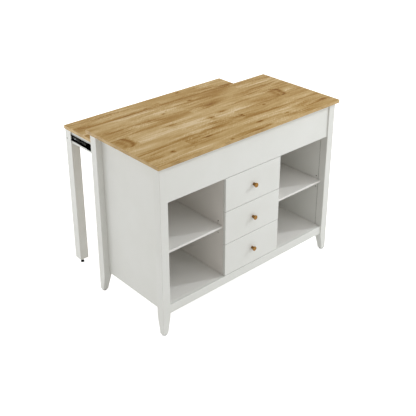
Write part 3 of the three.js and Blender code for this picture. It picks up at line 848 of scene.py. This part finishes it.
# %% Levelling feet
# Radius and height of the profiles' corners, mm.
sole = [(0.5, 0.6), (6.2, 0.6), (6.8, 0.0), (9.2, 0.0), (10.0, 1.0)]
PAD = rounded(sole + [(10.0, 5.0), (6.6, 6.8), (0.5, 6.8)], 0.8)
HEX = [(6.0, 6.6), (6.5, 7.0), (6.5, 11.4), (6.0, 11.9)]
THREAD_START, THREAD_PITCH, THREAD_TOP = 11.8, 1.25, 52.0
THREAD_RADIUS, THREAD_DEPTH = 3.9, 0.45  # over the crests, and of a groove under them
turns = np.arange(int((THREAD_TOP - THREAD_START) / THREAD_PITCH * 2))
stem_height = THREAD_START + THREAD_PITCH / 2 * turns
STEM = np.column_stack([THREAD_RADIUS - THREAD_DEPTH * (turns % 2), stem_height])
OUTWARD = {"left": -1, "right": 1}  # the sign of x that leads out of each side
for side in OUTWARD:
    body = "leveller_" + side
    _, _, middle = box_mm(body)
    place = (middle[0], middle[1], 0)
    pad = [set_at(lathe(PAD, 40), place), set_at(lathe(HEX, 6), place)]
    piece("levelling_foot_" + side, pad, body, black_abs, [body])
    stem = [set_at(lathe(STEM, 24), place)]
    piece("levelling_stem_" + side, stem, body, zinc, sharp=60)
print("stem: %d grooves, %.1f mm tall" % (len(turns) // 2, STEM[-1, 1]))

# %% [markdown]
# ## Shelf pins and the holes above and below them
#
# Each shelf lies on four steel pins, pushed into holes that are drilled one pitch apart, so that
# the shelf can move up or down. The CAD boards carry the pins as plain rods; a plated sleeve with a
# stop ring and a rounded nose goes over each. In the empty holes a thin cup of raw chipboard shows
# what the drill left, brown, and darker than raw chipboard is: painted shade for the inside of a
# hole.

# %% Shelf pins
PIN_Z, PIN_PITCH = 421.1, 32.0  # mm, as is the rest of the cell
PIN_Y = (-352.0, 23.0)
HOLE_BOTTOM = 7.8  # under the board's face
flange = [(0.4, 0.05), (4.6, 0.05), (4.6, 0.8), (3.35, 0.9)]
PIN = rounded(flange + [(3.35, 7.2), (2.6, 8.1), (0.4, 8.1)], 0.5)
HOLE = [(0.3, 0.2), (2.75, 0.2), (2.85, 7.6), (3.15, 7.75), (3.15, 0.05), (0.3, 0.0)]
# Where each board's face towards its bay lies along x.
BAY_FACES = {
    "end_panel_left": -541.0, "divider_left": -187.0,
    "divider_right": 187.0, "end_panel_right": 541.0,
}
for board, face in BAY_FACES.items():
    into = 1 if board in ("end_panel_left", "divider_right") else -1
    pins = [set_at(lathe(PIN, 20), (face, y, PIN_Z), (into, 0, 0)) for y in PIN_Y]
    piece("shelf_pins_" + board, pins, "cabinet", zinc)
    deep = face - HOLE_BOTTOM * into
    bottoms = [(deep, y, PIN_Z + step) for y in PIN_Y for step in (-PIN_PITCH, PIN_PITCH)]
    holes = [set_at(lathe(HOLE, 16), bottom, (into, 0, 0)) for bottom in bottoms]
    piece("raw_and_shaded_holes_" + board, holes, "cabinet", chipboard_and_painted_shade)
print("pins:", 2 * len(BAY_FACES), "empty holes:", 4 * len(BAY_FACES))

# %% [markdown]
# ## The joint lines beside the posts
#
# Where an end panel meets a post, its inner arris is relieved by a small groove, and the eye sees
# one thin grey line from the fascia to the floor panel. The CAD boards have the groove. A strip
# with a grey coat lies in it as painted shadow, for the shade in the groove, which keeps the line
# in soft light. Ambient shade alone would lose it, because the groove is narrower than a pixel.

# %% Joint lines
GROOVE_WIDTH, GROOVE_DEPTH = 1.5, 4.0  # as in the CAD boards, mm
SHADE_STRIP_DEPTH = 0.4  # the strip's surface under the board's face, mm
SIDE_PLAY, END_PLAY = 0.1, 0.2  # between the strip and the groove's walls and ends, mm
for side, out_x in OUTWARD.items():
    low, high, _ = box_mm("end_panel_" + side)
    mouth = BAY_FACES["end_panel_" + side]
    ends = sorted([mouth + SHADE_STRIP_DEPTH * out_x, mouth + (GROOVE_DEPTH - END_PLAY) * out_x])
    shade_strips = []
    for y in (low[1], high[1] - GROOVE_WIDTH):
        near = (ends[0], y + SIDE_PLAY, low[2] + END_PLAY)
        far = (ends[1], y + GROOVE_WIDTH - SIDE_PLAY, high[2] - END_PLAY)
        shade_strips.append(slab(near, far, corner=0.2, edge=0.1))
    piece("groove_shadow_strip_" + side, shade_strips, "cabinet", painted_groove_shade)
print("joint lines: %.0f mm tall" % (high[2] - low[2]))

# %% [markdown]
# ## Bolt caps on the table's legs
#
# Each leg is bolted to its apron from outside, and a snap-in cap hides the bolt: a thin disc with
# a rounded rim, a shade greyer than the lacquer. A decal would look flat from the side.

# %% Bolt caps
# Radius and height of the profile's corners, mm.
CAP = rounded([(0.4, 0.0), (5.0, 0.0), (4.8, 0.9), (0.4, 1.1)], 0.6)
CAP_Y, CAP_Z = 405.0, 746.0  # mm
for side, out_x in OUTWARD.items():
    low, high, _ = box_mm("table_leg_" + side)
    face = max(abs(low[0]), abs(high[0])) * out_x
    cap = set_at(lathe(CAP, 32), (face, CAP_Y, CAP_Z), (out_x, 0, 0))
    piece("bolt_cap_" + side, [cap], "table", cap_plastic)
print("bolt caps stand %.1f mm proud" % CAP[:, 1].max())

# %% [markdown]
# ## Screws
#
# Pan-head screws with a cross recess hold the slides to the aprons, the runners to the drawer sides
# and the knobs to the fronts. Such a head could be a squashed sphere; its recess is what the eye
# looks for, so the head is a dome on a polar grid with a cross pressed into it.

# %% Screw heads
def pan_head(radius, tall, sides=32):
    """A dome of height tall * (1 - (r / radius) ** 2.6) on a skirt 0.3 mm tall, less a cross
    recess: half the height where the smaller of |x| and |y| is under 0.16 radius and r is under
    0.62 radius."""
    angle = np.arange(sides) * 2 * math.pi / sides + math.pi / sides
    # Rings from the rim inwards. The first two stand one above the other and make the skirt.
    reach = np.array([1.0, 1.0, 0.97, 0.88, 0.76, 0.66, 0.60, 0.45, 0.28, 0.12]) * radius
    circle = np.stack([np.cos(angle), np.sin(angle)], -1)
    flat = reach[:, None, None] * circle
    dome = tall * (1 - (reach[:, None] / radius) ** 2.6) + 0.3
    narrow = np.abs(flat).min(-1) < 0.16 * radius
    pressed = narrow & (reach[:, None] < 0.62 * radius)
    z = np.where(pressed, dome - 0.5 * tall, dome)
    z[0] = 0.0
    return skin(np.concatenate([flat, z[..., None]], -1))


print("a screw head has", len(pan_head(4.0, 2.4)[1]), "faces")

# %% Screws
def screws(name, places, facing, body, radius=3.6, tall=2.2):
    """One object of pan-head screws whose heads stand on a plane and face along a direction."""
    heads = [set_at(pan_head(radius, tall), at, facing) for at in places]
    return piece(name, heads, body, zinc, sharp=25)


CHANNEL_WALL = 1.5  # steel of the slides and runners, mm
SLIDE_SCREWS = (33.0, 200.0, 367.0)  # from the slide's leg end, mm
RUNNER_SCREWS = (-140.0, 0.0, 140.0)  # from the runner's middle, mm
for side, out_x in OUTWARD.items():
    low, high, middle = box_mm("table_slide_inner_" + side)
    web = middle[0] + out_x * ((low[0] - high[0]) / 2 + CHANNEL_WALL)
    places = [(web, high[1] - along, middle[2]) for along in SLIDE_SCREWS]
    screws("slide_screws_" + side, places, (out_x, 0, 0), "table", radius=4.0, tall=2.4)
for level in LEVELS:
    body = "drawer_" + level
    _, back, _ = box_mm(body + "_front")
    _, _, knob = box_mm(body + "_knob")
    screws(body + "_knob_screw", [(knob[0], back[1], knob[2])], (0, 1, 0), body)
    for side, out_x in OUTWARD.items():
        low, high, middle = box_mm(f"{body}_runner_{side}")
        web = middle[0] + out_x * ((low[0] - high[0]) / 2 + CHANNEL_WALL)
        places = [(web, middle[1] + along, middle[2]) for along in RUNNER_SCREWS]
        screws(f"{body}_runner_screws_{side}", places, (out_x, 0, 0), body, radius=3.2, tall=1.8)
in_runners = len(LEVELS) * len(OUTWARD) * len(RUNNER_SCREWS)
print("screws:", len(OUTWARD) * len(SLIDE_SCREWS), "in slides,", in_runners, "in runners")
